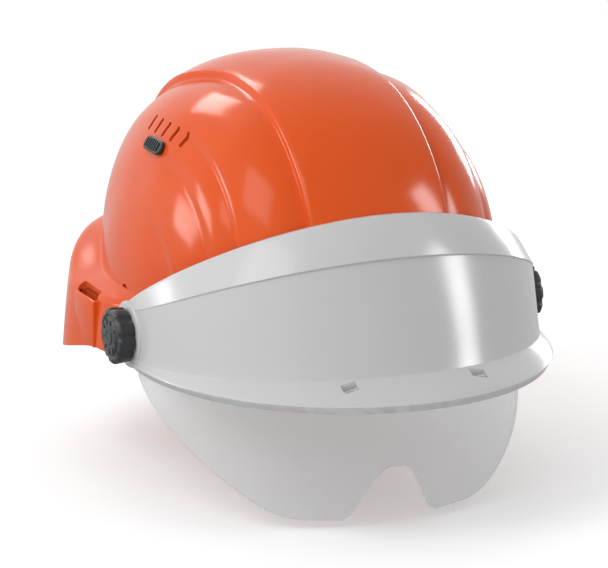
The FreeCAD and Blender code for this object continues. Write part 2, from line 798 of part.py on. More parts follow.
# ---------------------------------------------------------------- nape ratchet
# The pinion's axis lies front to back. The left rack passes over the pinion and the right one under it.
NAPE_LEFT, NAPE_FOOT = -size("nape_width") / 2, size("nape_up") - size("nape_height") / 2

RACK_GAP = 0.3
PINION_TEETH, RACK_TEETH, TOOTH_DEPTH = 10, 9, 1.2
TOOTH = 2 * math.pi * size("pinion_radius") / PINION_TEETH


def rack(side):
    height, wall, length = size("rack_height"), size("rack_wall"), size("rack_length")
    near = size("nape_up") + side * (size("pinion_radius") + RACK_GAP)
    low = near if side > 0 else near - height
    start = -6 if side > 0 else 6 - length
    strip = Part.makeBox(length, wall, height, Vector(start, size("nape_back") - wall / 2, low))
    for i in range(RACK_TEETH):
        left_end = side * (i * TOOTH - 4) - TOOTH / 4
        foot = near if side > 0 else near - TOOTH_DEPTH
        corner = Vector(left_end, size("nape_back") - wall / 2 - 1, foot)
        strip = strip.cut(Part.makeBox(TOOTH / 2, wall + 2, TOOTH_DEPTH, corner))
    return strip


for label, side in SIDES.items():
    shaped(rack(side), "nape_rack_" + label)

housing_block = box("housing_block",
                    at(NAPE_LEFT, size("nape_back") - 5, NAPE_FOOT),
                    Length="dims.nape_width", Width="6.6", Height="dims.nape_height")
housing_channel = box("housing_channel", at(-60, size("nape_back") - 1.5, size("nape_up") - 12.2),
                      Length="120", Width="10", Height="24.4")
node(boolean("Cut", "housing_cut", housing_block, housing_channel), "nape_housing")

cover_plate = box("nape_plate",
                  at(NAPE_LEFT, size("nape_back") + 1.6, NAPE_FOOT),
                  Length="dims.nape_width", Width="3", Height="dims.nape_height")
shaft_hole = primitive("Cylinder", "nape_shaft_hole",
                       at(0, size("nape_back"), size("nape_up"), (1, 0, 0), -90),
                       Radius="dims.pinion_radius - 2 + dims.stud_clearance", Height="10")
node(boolean("Cut", "nape_plate_cut", cover_plate, shaft_hole), "nape_cover")

name = "ratchet_pinion"
pinion = new_body(name, at(0, size("nape_back") - 1.2, size("nape_up"), (1, 0, 0), -90))
disc = new_sketch(pinion, name + "_disc")
add_circle(disc, 5.0, radius_from="dims.pinion_radius")
pad(pinion, disc, name + "_pad", "dims.rack_wall + 0.4")
doc.recompute()
gap_sketch = new_sketch(pinion, name + "_gap")
add_circle(gap_sketch, 0.8, x=size("pinion_radius") + 0.1)
tooth_gap = pocket(pinion, gap_sketch, name + "_cut", "dims.rack_wall + 0.4")
polar(pinion, tooth_gap, name + "_teeth", PINION_TEETH)
shaft = new_sketch(pinion, name + "_shaft")
add_circle(shaft, 3.0, radius_from="dims.pinion_radius - 2")
pad(pinion, shaft, name + "_shaft_pad", "6.1")

scalloped_knob("ratchet_knob", at(0, size("nape_back") + 4.9, size("nape_up"), (1, 0, 0), -90),
                      "dims.ratchet_radius", "dims.ratchet_depth", 12)

node(box("nape_pad_block",
         at(NAPE_LEFT + 2, size("nape_back") - 9, NAPE_FOOT - 1),
         Length="dims.nape_width - 4", Width="4", Height="dims.nape_height + 2"), "nape_pad")

SCREW_SIDE, SCREW_UP = 27.0, 10.72
screws = []
for i, (across, above) in enumerate([(-1, -1), (1, -1), (-1, 1), (1, 1)]):
    x, z = across * SCREW_SIDE, size("nape_up") + above * SCREW_UP
    head = primitive("Cylinder", "screw_head_%d" % i, at(x, size("nape_back") + 4.6, z, (1, 0, 0), -90),
                     Radius="2.2", Height="1.4")
    slot = box("screw_slot_%d" % i, at(x - 3, size("nape_back") + 5.4, z - 0.3), Length="6", Width="1",
               Height="0.6")
    screws.append(boolean("Cut", "screw_%d" % i, head, slot))
node(fuse("screw_set", screws), "nape_screws")

# ---------------------------------------------------------------- write the pieces

doc.recompute()
for item in doc.Objects:
    if "Invalid" in item.State or "Error" in item.State:
        raise RuntimeError("%s failed: %s" % (item.Name, item.State))
for item in parts:
    if item.Shape.isNull() or not item.Shape.isValid() or not item.Shape.Solids:
        raise RuntimeError("%s has no valid solid" % item.Label)

os.makedirs("parts", exist_ok=True)
for item in parts:
    item.Shape.exportStep("parts/%s.step" % item.Label)
print(len(parts), "pieces written")
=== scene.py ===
import math

import bmesh
import bpy
import numpy as np
from mathutils import Matrix, Vector


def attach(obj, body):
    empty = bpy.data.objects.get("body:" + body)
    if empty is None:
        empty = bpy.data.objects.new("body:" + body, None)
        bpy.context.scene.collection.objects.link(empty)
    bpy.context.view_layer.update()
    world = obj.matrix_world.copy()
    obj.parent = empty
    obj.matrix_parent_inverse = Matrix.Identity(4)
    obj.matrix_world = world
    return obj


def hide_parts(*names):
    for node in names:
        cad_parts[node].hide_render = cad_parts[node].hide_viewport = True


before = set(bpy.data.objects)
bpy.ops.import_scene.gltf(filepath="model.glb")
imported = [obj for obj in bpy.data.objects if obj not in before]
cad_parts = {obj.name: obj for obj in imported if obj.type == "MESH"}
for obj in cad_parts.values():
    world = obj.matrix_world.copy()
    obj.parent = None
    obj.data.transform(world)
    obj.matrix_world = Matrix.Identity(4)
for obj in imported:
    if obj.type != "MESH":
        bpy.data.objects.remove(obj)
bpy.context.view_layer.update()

MM = 0.001

# ---------------------------------------------------------------- frame
# The helmet faces -Y, +X is the wearer's left and +Z is up. Lengths are in metres, and a length
# written in millimetres is turned into metres with MM.

PIVOT = Vector((0.0, -42 * MM, 15 * MM))
SIDES = {"right": -1, "left": 1}


def smooth(t):
    t = np.clip(t, 0.0, 1.0)
    return t * t * (3 - 2 * t)


# ---------------------------------------------------------------- mesh helpers


def new_object(name, verts, faces, smooth_shade=True):
    mesh = bpy.data.meshes.new(name)
    mesh.from_pydata([tuple(v) for v in verts], [], faces)
    mesh.validate()
    mesh.update()
    if smooth_shade:
        mesh.shade_smooth()
    piece = bpy.data.objects.new(name, mesh)
    bpy.context.scene.collection.objects.link(piece)
    return piece


def apply_modifiers(piece):
    depsgraph = bpy.context.evaluated_depsgraph_get()
    mesh = bpy.data.meshes.new_from_object(piece.evaluated_get(depsgraph))
    piece.modifiers.clear()
    old = piece.data
    piece.data = mesh
    bpy.data.meshes.remove(old)


def bevel(piece, width, segments=3, angle=35):
    modifier = piece.modifiers.new("bevel", "BEVEL")
    modifier.width = width
    modifier.segments = segments
    modifier.limit_method = "ANGLE"
    modifier.angle_limit = math.radians(angle)


def sharp_by_angle(piece, angle=38):
    piece.data.shade_smooth()
    piece.data.set_sharp_from_angle(angle=math.radians(angle))


def grid_faces(rows, columns, start=0, closed=False):
    """Quads over a grid of points stored row by row."""
    faces = []
    for i in range(rows - 1):
        for j in range(columns if closed else columns - 1):
            k = (j + 1) % columns
            faces.append((start + i * columns + j, start + i * columns + k,
                          start + (i + 1) * columns + k, start + (i + 1) * columns + j))
    return faces


def wall_object(name, outer, inner):
    """A closed wall between two equal grids of points, with a rim round their border."""
    rows, columns = outer.shape[:2]
    count = rows * columns
    verts = np.concatenate([outer.reshape(-1, 3), inner.reshape(-1, 3)])
    faces = grid_faces(rows, columns)
    faces += [tuple(reversed(face)) for face in grid_faces(rows, columns, count)]
    ring = list(range(columns))
    ring += [i * columns + columns - 1 for i in range(1, rows)]
    ring += [(rows - 1) * columns + j for j in range(columns - 2, -1, -1)]
    ring += [i * columns for i in range(rows - 2, 0, -1)]
    for a, b in zip(ring, ring[1:] + ring[:1]):
        faces.append((b, a, a + count, b + count))
    return new_object(name, verts, faces)


def outward_normals(piece):
    mesh = bmesh.new()
    mesh.from_mesh(piece.data)
    bmesh.ops.recalc_face_normals(mesh, faces=mesh.faces)
    mesh.to_mesh(piece.data)
    mesh.free()


def spline_matrix(controls, samples):
    """Weights of a clamped cubic B-spline: one row per sample, one column per control point."""
    knots = np.concatenate([np.zeros(3), np.linspace(0, 1, controls - 2), np.ones(3)])
    where = np.linspace(0, 1, samples)
    where[-1] = 1 - 1e-9
    basis = np.array([(knots[i] <= where) & (where < knots[i + 1]) for i in range(len(knots) - 1)], float).T
    for degree in range(1, 4):
        lifted = np.zeros((samples, len(knots) - 1 - degree))
        for i in range(lifted.shape[1]):
            span = knots[i + degree] - knots[i]
            after = knots[i + degree + 1] - knots[i + 1]
            if span > 0:
                lifted[:, i] += (where - knots[i]) / span * basis[:, i]
            if after > 0:
                lifted[:, i] += (knots[i + degree + 1] - where) / after * basis[:, i + 1]
        basis = lifted
    return basis


def cut_with(piece, cutter):
    """Cut one mesh out of another and delete the cutter."""
    modifier = piece.modifiers.new("cut", "BOOLEAN")
    modifier.operation = "DIFFERENCE"
    modifier.solver = "EXACT"
    modifier.object = cutter
    apply_modifiers(piece)
    mesh = cutter.data
    bpy.data.objects.remove(cutter)
    bpy.data.meshes.remove(mesh)


def join(name, pieces):
    """One object that holds several meshes."""
    mesh = bmesh.new()
    for piece in pieces:
        part = piece.data.copy()
        part.transform(piece.matrix_world)
        mesh.from_mesh(part)
        bpy.data.meshes.remove(part)
    joined = bpy.data.meshes.new(name)
    mesh.to_mesh(joined)
    mesh.free()
    for piece in pieces:
        old = piece.data
        bpy.data.objects.remove(piece)
        bpy.data.meshes.remove(old)
    result = bpy.data.objects.new(name, joined)
    bpy.context.scene.collection.objects.link(result)
    return result


def turned_solid(name, profile, columns, place=None, waver=None):
    """A solid of revolution about local Z from (radius, height) points, closed on its axis at both ends.
    waver(angle, radius) changes the radius round the turn."""
    angles = np.linspace(0, 2 * math.pi, columns, endpoint=False)
    verts, faces = [], []
    for radius, height in profile:
        for angle in angles:
            reach = waver(angle, radius) if waver else radius
            verts.append((reach * math.cos(angle), reach * math.sin(angle), height))
    faces += grid_faces(len(profile), columns, closed=True)
    for row, flip in ((0, True), (len(profile) - 1, False)):
        centre = len(verts)
        verts.append((0, 0, profile[row][1]))
        for j in range(columns):
            a, b = row * columns + j, row * columns + (j + 1) % columns
            faces.append((b, a, centre) if flip else (a, b, centre))
    piece = new_object(name, verts, faces)
    if place is not None:
        piece.data.transform(place)
    outward_normals(piece)
    return piece


def outward_place(side, inner, y=PIVOT.y, z=PIVOT.z):
    """Local Z pointing outward along X, from a distance from the plane of symmetry."""
    return Matrix.Translation((side * inner, y, z)) @ Matrix.Rotation(side * math.pi / 2, 4, "Y")


def capsule_mesh(name, length, width, height, place, arc=10):
    """A bar with round ends along local X, centred on the local origin."""
    outline = []
    for end in (1, -1):
        for i in range(arc + 1):
            angle = math.pi * (i / arc - 0.5) + (0 if end > 0 else math.pi)
            along = end * (length - width) / 2 + width / 2 * math.cos(angle)
            outline.append((along, width / 2 * math.sin(angle)))
    count = len(outline)
    verts = [(x, y, -height / 2) for x, y in outline] + [(x, y, height / 2) for x, y in outline]
    faces = [tuple(range(count - 1, -1, -1)), tuple(range(count, 2 * count))]
    faces += [(i, (i + 1) % count, count + (i + 1) % count, count + i) for i in range(count)]
    piece = new_object(name, verts, faces, smooth_shade=False)
    piece.data.transform(place)
    outward_normals(piece)
    return piece


def block_mesh(name, low, high, rounding=0.0):
    """A box between two corners, with rounded edges if a radius is given."""
    corners = [(x, y, z) for x in (low[0], high[0]) for y in (low[1], high[1]) for z in (low[2], high[2])]
    faces = [(0, 1, 3, 2), (4, 6, 7, 5), (0, 4, 5, 1), (2, 3, 7, 6), (0, 2, 6, 4), (1, 5, 7, 3)]
    piece = new_object(name, corners, faces, smooth_shade=False)
    outward_normals(piece)
    if rounding:
        bevel(piece, rounding, 3)
        apply_modifiers(piece)
    return piece


def prism_mesh(name, outline, low, high):
    """An upright prism over an outline in the XY plane."""
    count = len(outline)
    verts = [(x, y, low) for x, y in outline] + [(x, y, high) for x, y in outline]
    faces = [tuple(range(count - 1, -1, -1)), tuple(range(count, 2 * count))]
    faces += [(i, (i + 1) % count, count + (i + 1) % count, count + i) for i in range(count)]
    piece = new_object(name, verts, faces, smooth_shade=False)
    outward_normals(piece)
    return piece


# ---------------------------------------------------------------- shell

HALF_WIDTH, HALF_LENGTH, TOP = 107 * MM, 127 * MM, 148 * MM
PLAN_POWER, DOME_POWER = 2.2, 0.92
SHELL_WALL = 2.6 * MM
GUTTER_SIDE, GUTTER_CORNER, GUTTER_REAR = 10 * MM, 20 * MM, 16 * MM
BAND_HALF, FLANK_HALF = 39.5 * MM, 73 * MM
FLANK_RISE, LOBE_RISE = 1.6, 3.0
INSIDE_LIMIT = 0.999999


def plan_radius(turn):
    across = np.abs(np.sin(np.radians(turn))) / HALF_WIDTH
    along = np.abs(np.cos(np.radians(turn))) / HALF_LENGTH
    return (across ** PLAN_POWER + along ** PLAN_POWER) ** (-1 / PLAN_POWER)


def gutter_height(turn):
    return (30 + 15 * (1 - smooth((turn - 40) / 35)) + 20 * smooth((turn - 115) / 45)) * MM


def gutter_step(turn):
    """How far the skirt stands out from the dome. It is widest behind the ears."""
    step = GUTTER_SIDE * smooth((turn - 72) / 26) + (GUTTER_CORNER - GUTTER_SIDE) * smooth((turn - 98) / 24)
    return step + (GUTTER_REAR - GUTTER_CORNER) * smooth((turn - 140) / 40)


def rim_height(turn):
    return (24 - 31 * smooth((turn - 35) / 50) - 14 * smooth((turn - 95) / 35)) * MM


def inside_edge(x, edge, width):
    return 0.5 * (1 + np.tanh((edge - np.abs(x)) / width))


def band_edge(y):
    """Half width of the raised central band. It widens towards the back."""
    return BAND_HALF + 8 * MM * smooth((y + 5 * MM) / (65 * MM))


def bulge(x, low, high):
    """A low arch between two distances from the plane of symmetry: 1 midway, 0 outside."""
    share = (np.abs(x) - low) / (high - low)
    return np.clip(4 * share * (1 - share), 0, 1)


def rise(x, y):
    """Height of the raised bands and creases over the plain dome. It is added up in millimetres."""
    back = smooth((y + 5 * MM) / (65 * MM))
    front = 1 - smooth((y + 35 * MM) / (60 * MM))
    height = (4.0 + 1.2 * back) * inside_edge(x, band_edge(y), 0.9 * MM)
    crisp_flank, soft_flank = inside_edge(x, FLANK_HALF, 0.7 * MM), inside_edge(x, FLANK_HALF, 6 * MM)
    height += FLANK_RISE * (front * crisp_flank + (1 - front) * soft_flank)
    height += (2.2 * bulge(x, 40.5 * MM, 73.5 * MM) + 1.4 * bulge(x, FLANK_HALF, 85.5 * MM)) * front
    height += LOBE_RISE * bulge(x, 42 * MM, 95 * MM) * smooth((y + 50 * MM) / (50 * MM))
    height += 1.0 * bulge(x, 85 * MM, 99 * MM) * (1 - smooth((y + 20 * MM) / (30 * MM)))
    for edge, start in ((85 * MM, -66 * MM), (98.5 * MM, -42 * MM)):
        near = 1 - smooth((y - start) / (26 * MM))
        soft, crisp = inside_edge(x, edge, 7 * MM), inside_edge(x, edge, 0.7 * MM)
        height -= 1.6 * (1 - near * crisp - (1 - near) * soft)
    return height * MM


def dome_points(x, y):
    """Points of the outer face over plan positions."""
    flat = np.hypot(x, y)
    turn = np.degrees(np.arctan2(np.abs(x), -y))
    out = np.clip(flat / plan_radius(turn), 0, 1) ** (1 / DOME_POWER)
    up = np.sqrt(1 - out ** 2)
    foot = gutter_height(turn)
    lift = rise(x, y)
    safe = np.maximum(flat, 1e-9)
    above = foot + (TOP - foot) * up + lift * up
    return np.stack([x + lift * out * x / safe, y + lift * out * y / safe, above], -1)


def station_list():
    """Distances from the plane of symmetry in both directions, close together at each crease."""
    edges = [0.0, 37.5, 38.5, 39.1, 39.5, 39.9, 40.5, 41.5, 71.2, 72.2, 72.8, 73.2, 73.8, 74.8,
             83.4, 84.4, 85.0, 85.6, 86.6, 97.2, 98.0, 98.5, 99.0, 99.8]
    filled = []
    for low, high in zip(edges[:-1], edges[1:]):
        count = max(1, round((high - low) / 2.4))
        filled += [low + (high - low) * i / count for i in range(count)]
    filled += [99.8, 101.4, 102.8, 104.0, 105.0, 105.8, 106.4, 106.8, 106.98]
    right = [-value for value in filled[:0:-1]]
    return np.array(right + filled) * MM


def shell_skin():
    """The dome over a grid in plan, then the gutter and skirt as rings round its border, then the wall."""
    stations = station_list()
    rows = 104
    span = HALF_LENGTH * (1 - (np.abs(stations) / HALF_WIDTH) ** PLAN_POWER) ** (1 / PLAN_POWER)
    along = -np.cos(np.linspace(0, math.pi, rows + 1))
    y = span[:, None] * along[None, :] * INSIDE_LIMIT
    base = np.repeat(stations[:, None], rows + 1, axis=1)
    near_band = np.clip(1 - np.abs(np.abs(base) - BAND_HALF) / (30 * MM), 0, 1)
    x = base + np.sign(base) * near_band * (band_edge(y) - BAND_HALF)
    limit = HALF_WIDTH * (1 - (np.abs(y) / HALF_LENGTH) ** PLAN_POWER) ** (1 / PLAN_POWER)
    x = np.where(np.abs(x) > limit, np.sign(x) * limit * INSIDE_LIMIT, x)
    end_share = np.abs(along[None, :])
    fade = 1 - smooth((end_share - 0.97) / 0.03)
    x = np.where(end_share > 0.97, base + (x - base) * fade, x)
    dome = dome_points(x, y)
    count, columns = dome.shape[:2]
    verts = list(dome.reshape(-1, 3))
    faces = grid_faces(count, columns)
    border = [i * columns for i in range(count)] + [i * columns + rows for i in range(count - 1, -1, -1)]
    px = np.array([x.reshape(-1)[i] for i in border])
    py = np.array([y.reshape(-1)[i] for i in border])
    turn = np.degrees(np.arctan2(np.abs(px), -py))
    heading = np.stack([px, py], -1) / np.hypot(px, py)[:, None]
    start = np.array([verts[i] for i in border])
    flat = np.hypot(start[:, 0], start[:, 1])
    step, foot, rim = gutter_step(turn), gutter_height(turn), rim_height(turn)
    lines = [start]
    for share, fall in ((0.0, -1.2), (0.1, -3.0), (0.55, -5.5), (0.95, -8.0), (1.0, -12.0)):
        reach = flat + step * share
        lines.append(np.column_stack([heading * reach[:, None], start[:, 2] + fall * MM]))
    for share in (0.6, 0.8, 1.0):
        reach = flat + step * (1 + 0.2 * share)
        lines.append(np.column_stack([heading * reach[:, None], foot - (foot - rim) * share]))
    samples = 26
    control = np.array(lines)
    rings = np.einsum("sc,cnk->snk", spline_matrix(len(lines), samples), control)
    previous = border
    for ring in rings[1:]:
        first = len(verts)
        verts += list(ring)
        current = [first + i for i in range(len(border))]
        for i in range(len(border)):
            after = (i + 1) % len(border)
            faces.append((previous[i], previous[after], current[after], current[i]))
        previous = current
    skin = new_object("shell_skin", verts, faces)
    tidy = bmesh.new()
    tidy.from_mesh(skin.data)
    bmesh.ops.remove_doubles(tidy, verts=tidy.verts, dist=2e-5)
    bmesh.ops.recalc_face_normals(tidy, faces=tidy.faces)
    top = max(tidy.faces, key=lambda face: face.calc_center_median().z)
    if top.normal.z < 0:
        bmesh.ops.reverse_faces(tidy, faces=tidy.faces)
    tidy.to_mesh(skin.data)
    tidy.free()
    wall = skin.modifiers.new("wall", "SOLIDIFY")
    wall.thickness = SHELL_WALL
    wall.offset = -1
    wall.use_even_offset = False
    apply_modifiers(skin)
    return skin


# ---------------------------------------------------------------- shell fittings

VENT_TURN, VENT_SLOPE = 90.5, 41.0
VENT_COUNT, VENT_PITCH, VENT_RISE = 5, 12 * MM, 11 * MM
PLAIN_EDGE = 2.2 * MM


def shell_point(turn, slope):
    """A point of the outer face with plain, soft bands, from the turn and the slope in degrees.
    The vents and sliders are placed on it, so that they meet the shutters under the shell."""
    lean, spin = math.radians(slope), math.radians(turn)
    foot = float(gutter_height(abs(turn)))
    flat = float(plan_radius(abs(turn))) * math.cos(lean) ** DOME_POWER
    x = abs(flat * math.sin(spin))
    lobe = bulge(x, 42 * MM, 95 * MM) * smooth((50 * MM - flat * math.cos(spin)) / (50 * MM))
    lift = FLANK_RISE * MM * 0.5 * (1 + math.tanh((FLANK_HALF - x) / PLAIN_EDGE))
    lift += 3.6 * MM * 0.5 * (1 + math.tanh((BAND_HALF - x) / PLAIN_EDGE))
    lift += LOBE_RISE * MM * float(lobe)
    flat += lift * math.cos(lean)
    height = foot + (TOP - foot) * math.sin(lean) + lift * math.sin(lean)
    return Vector((flat * math.sin(spin), -flat * math.cos(spin), height))


def vent_place(side):
    """Placement on the outer face beside the vents: local Z points outward, local X backward."""
    turn = side * VENT_TURN
    ahead = 4 if turn > 0 else -4
    back = (shell_point(turn + ahead, VENT_SLOPE) - shell_point(turn - ahead, VENT_SLOPE)).normalized()
    rising = shell_point(turn, VENT_SLOPE + 4) - shell_point(turn, VENT_SLOPE - 4)
    outward = back.cross(rising).normalized()
    middle = shell_point(turn, VENT_SLOPE)
    if outward.dot(middle) < 0:
        outward = -outward
    across = outward.cross(back)
    place = Matrix((back, across, outward)).transposed().to_4x4()
    place.translation = middle
    return place, 1 if across.z > 0 else -1


def vent_cutters(side):
    """The five vent slots and the slider's window on one side."""
    place, up = vent_place(side)
    tools = []
    upright = Matrix.Rotation(math.pi / 2, 4, "Z")
    for i in range(VENT_COUNT):
        along = (i - (VENT_COUNT - 1) / 2) * VENT_PITCH
        spot = place @ Matrix.Translation((along, up * VENT_RISE, 0)) @ upright
        tools.append(capsule_mesh("slot", 10 * MM, 3 * MM, 16 * MM, spot))
    window = place @ Matrix.Translation((4 * MM, 0, 0))
    tools.append(capsule_mesh("window", 14 * MM, 5 * MM, 16 * MM, window))
    return tools


POCKET_X, POCKET_Y = 112.4 * MM, 33 * MM
LUG_X, LUG_Y, LUG_Z = 107.188 * MM, 70 * MM, -7.5 * MM


def knob_boss(side):
    """The tube on the knob axis that the clamp's stud passes through."""
    angles = 64
    verts, faces = [], []
    profile = [(4.15, 92), (8.5, 92), (8.5, 108.3), (8.2, 108.9), (7.6, 109), (4.15, 109)]
    for radius, height in profile:
        for i in range(angles):
            spin = 2 * math.pi * i / angles
            verts.append((side * height * MM, PIVOT.y + radius * MM * math.cos(spin),
                          PIVOT.z + radius * MM * math.sin(spin)))
    for i in range(len(profile)):
        after = (i + 1) % len(profile)
        for j in range(angles):
            k = (j + 1) % angles
            faces.append((i * angles + j, i * angles + k, after * angles + k, after * angles + j))
    boss = new_object("boss", verts, faces)
    outward_normals(boss)
    return boss


def slot_block(name, side, half_width, half_length, low, high, rounding=0.0):
    """A block on the middle of an accessory slot."""
    middle = side * POCKET_X
    return block_mesh(name, (middle - half_width, POCKET_Y - half_length, low),
                      (middle + half_width, POCKET_Y + half_length, high), rounding)


def pocket_opening(name, side, low):
    return slot_block(name, side, 2.4 * MM, 13.5 * MM, low, 36 * MM)


def accessory_pocket(side):
    """The wall round an accessory slot."""
    block = slot_block("pocket", side, 4.2 * MM, 15.3 * MM, -8 * MM, 19 * MM, 1 * MM)
    cut_with(block, pocket_opening("pocket_hole", side, -20 * MM))
    return block


def strap_eyelet(side):
    """The tab under the rim with an upright hole for a chin strap."""
    corners = [(101.69, 62), (101.69, 78), (111.1, 78), (114.7, 70), (116.9, 62)]
    tab = prism_mesh("lug", [(side * x * MM, y * MM) for x, y in corners], -9 * MM, -6 * MM)
    eye = turned_solid("eye", [(2.5 * MM, -6 * MM), (2.5 * MM, 6 * MM)], 40,
                       Matrix.Translation((side * LUG_X, LUG_Y, LUG_Z)))
    cut_with(tab, eye)
    bevel(tab, 0.5 * MM, 2)
    apply_modifiers(tab)
    return tab


def finish_shell(skin):
    """Cut the vents and slots out of the skin and join its fittings to it."""
    cutters = []
    for side in SIDES.values():
        cutters += vent_cutters(side)
    cut_with(skin, join("vent_tool", cutters))
    fittings = []
    for side in SIDES.values():
        fittings += [knob_boss(side), accessory_pocket(side), strap_eyelet(side)]
    pockets = [pocket_opening("slot_tool", side, -30 * MM) for side in SIDES.values()]
    cut_with(skin, join("slot_tools", pockets))
    body = join("shell_body", [skin] + fittings)
    sharp_by_angle(body, 32)
    return body


shell = finish_shell(shell_skin())

# ---------------------------------------------------------------- brow cover


def forward_points(side_way, ahead, above):
    """Points from distances across, ahead of the knob axis and above it."""
    return np.stack([side_way, PIVOT.y - ahead, PIVOT.z + above], -1)


# Each line of the cover runs from cheek to cheek:
# (extra half width, reach ahead, power of the reach, height at the middle, height at the cheek, its power)
COVER_LINES = np.array([
    (0.0, 83.2, 1.30, 74.5, 18.0, 1.3),
    (0.4, 88.2, 1.18, 69.0, 16.7, 1.3),
    (1.1, 94.2, 1.09, 61.6, 15.0, 1.27),
    *[(1.9, 99.0, 1.0, 54.6, 13.4, 1.25)] * 3,
    *[(1.0, 98.2, 1.0, 53.4, 13.0, 1.25)] * 3,
    (1.25, 102.6, 1.0, 43.0, 8.0, 1.18),
    (1.5, 109.5, 1.0, 26.0, 0.0, 1.1),
    (1.8, 115.5, 1.0, 9.5, -8.0, 1.05),
    (2.0, 118.8, 1.0, 0.2, -12.2, 1.0),
    *[(2.4, 120.8, 1.0, -4.6, -13.6, 1.0)] * 3,
    (4.0, 126.0, 1.0, -7.2, -14.0, 1.0),
    (6.0, 131.0, 1.0, -9.8, -14.2, 1.0),
    (9.3, 139.0, 1.0, -14.2, -14.6, 1.0),
    (10.0, 140.5, 1.0, -15.5, -15.2, 1.0),
]) * np.array([MM, MM, 1, MM, MM, 1])
COVER_HALF = 118.4 * MM
COVER_WALL = 2.8 * MM
LOWER_FACE_REACH = 112 * MM


def cover_grid(depth, samples=150, columns=200):
    """Points of the cover's face at a depth under it. The wall is thinner where the raised lens passes."""
    psi = np.linspace(-math.pi / 2, math.pi / 2, columns + 1)
    sine, cosine = np.sin(psi)[:, None], np.abs(np.cos(psi))[:, None]
    extra, reach, bend, middle, cheek, power = COVER_LINES.T
    ledge = extra > 2.6 * MM
    drop = np.where(ledge, 3.8 * MM, np.where(extra > 2.3 * MM, 2.6 * MM, 0)) if depth else 0
    near = depth * np.where(ledge, 0.25, np.where(reach > LOWER_FACE_REACH, 0.6, 1.0))
    ahead = (reach - near) * cosine ** bend
    above = cheek + (middle - cheek) * cosine ** power - drop
    across = (COVER_HALF - depth + extra * cosine) * sine
    lines = forward_points(across, ahead, above)
    return np.einsum("sc,kcn->skn", spline_matrix(len(COVER_LINES), samples), lines)


def cover_skin():
    """The cover with its two ledge windows and the round cheeks under the knobs."""
    skin = wall_object("cover_skin", cover_grid(0), cover_grid(COVER_WALL))
    outward_normals(skin)
    windows = []
    for side in SIDES.values():
        middle = side * 37.5 * MM
        windows.append(block_mesh("window", (middle - 4.5 * MM, PIVOT.y - 123.5 * MM, -14 * MM),
                                  (middle + 4.5 * MM, PIVOT.y - 117.5 * MM, 12 * MM)))
    cut_with(skin, join("window_tool", windows))
    cheeks = []
    for side in SIDES.values():
        disc = [(0.1, 0.0), (17.6, 0.0), (18.5, 0.6), (18.5, 2.0), (18.2, 2.6), (17.6, 2.8), (0.1, 2.8)]
        profile = [(radius * MM, height * MM) for radius, height in disc]
        cheeks.append(turned_solid("cheek", profile, 96, outward_place(side, 115.6 * MM)))
    piece = join("visor_cover_body", [skin] + cheeks)
    return piece


cover = cover_skin()
bevel(cover, 0.7 * MM, 3, 40)
apply_modifiers(cover)
sharp_by_angle(cover, 40)

# ---------------------------------------------------------------- lens

LENS_WALL = 2.2 * MM
LENS_HALF = 112.3        # millimetres, as lens_foot works in them
EAR_INNER = 110.1 * MM


def lens_foot(turn):
    """Height of the lens's lower edge over the pivot, in millimetres, at a turn in degrees from the front."""
    across = LENS_HALF * np.abs(np.sin(np.radians(turn)))
    flare = np.maximum(0, across - 2) / 26
    notch = 30.7 * (1 - smooth(flare ** 1.25))
    beyond = np.abs(turn) - 32.2
    return -93 + notch + 0.6 * (beyond + np.hypot(beyond, 6))


def lens_grid(depth, rows=64, columns=300):
    """Points of the lens at a depth under its outer face, from the top edge down to the lower one."""
    psi = np.linspace(-math.pi / 2, math.pi / 2, columns + 1)[:, None]
    sine, cosine = np.sin(psi), np.abs(np.cos(psi))
    half = EAR_INNER + LENS_WALL - depth
    across = half * sine
    top = -16 + 24 * (1 - cosine) ** 2
    foot = lens_foot(np.degrees(psi))
    share = np.linspace(0, 1, rows + 1)[None, :]
    above = top + (foot - top) * share
    ahead = (104 - 0.0019 * (above + 10) ** 2) * MM - depth
    return forward_points(np.repeat(across, rows + 1, 1), ahead * cosine ** 1.15, above * MM)


def lens_skin():
    """The lens with its two round ears on the knob axis."""
    skin = wall_object("lens_skin", lens_grid(0), lens_grid(LENS_WALL))
    outward_normals(skin)
    ears = []
    for side in SIDES.values():
        disc = [(0.1, 0.0), (13.6, 0.0), (14.0, 0.4), (14.0, 1.8), (13.6, 2.2), (0.1, 2.2)]
        profile = [(radius * MM, height * MM) for radius, height in disc]
        ears.append(turned_solid("ear", profile, 72, outward_place(side, EAR_INNER)))
    return join("lens_body", [skin] + ears)


lens = lens_skin()
bevel(lens, 0.45 * MM, 3, 40)
apply_modifiers(lens)
sharp_by_angle(lens, 40)

# ---------------------------------------------------------------- clamp knobs


SCALLOPS = 9


def knob_profile(steps=8):
    """(radius, height) pairs of the clamp knob from its seat to its face, in millimetres."""
    points = [(0.5, 0.0), (13.4, 0.0), (14.4, 0.3), (15.1, 1.1)]
    points += [(15.1 + 0.55 * t, 1.1 + 5.6 * t) for t in np.linspace(0.2, 1, steps)]
    points += [(15.7, 7.6), (15.5, 8.5), (14.9, 9.2), (14.0, 9.6), (12.9, 9.75), (12.3, 9.7)]
    points += [(11.9, 9.3), (11.5, 9.15), (11.0, 9.3), (10.6, 9.8), (9.9, 10.3), (8.4, 10.45), (0.4, 10.5)]
    return points


def scallops(count, depth, low, high):
    """A radius change that presses finger hollows into a knob, growing between two radii."""
    def waver(angle, radius):
        part = smooth((radius - low) / (high - low))
        hollow = np.clip(math.cos(count * angle) - 0.1, 0, None) / 0.9
        return radius - depth * float(part) * hollow ** 0.8
    return waver


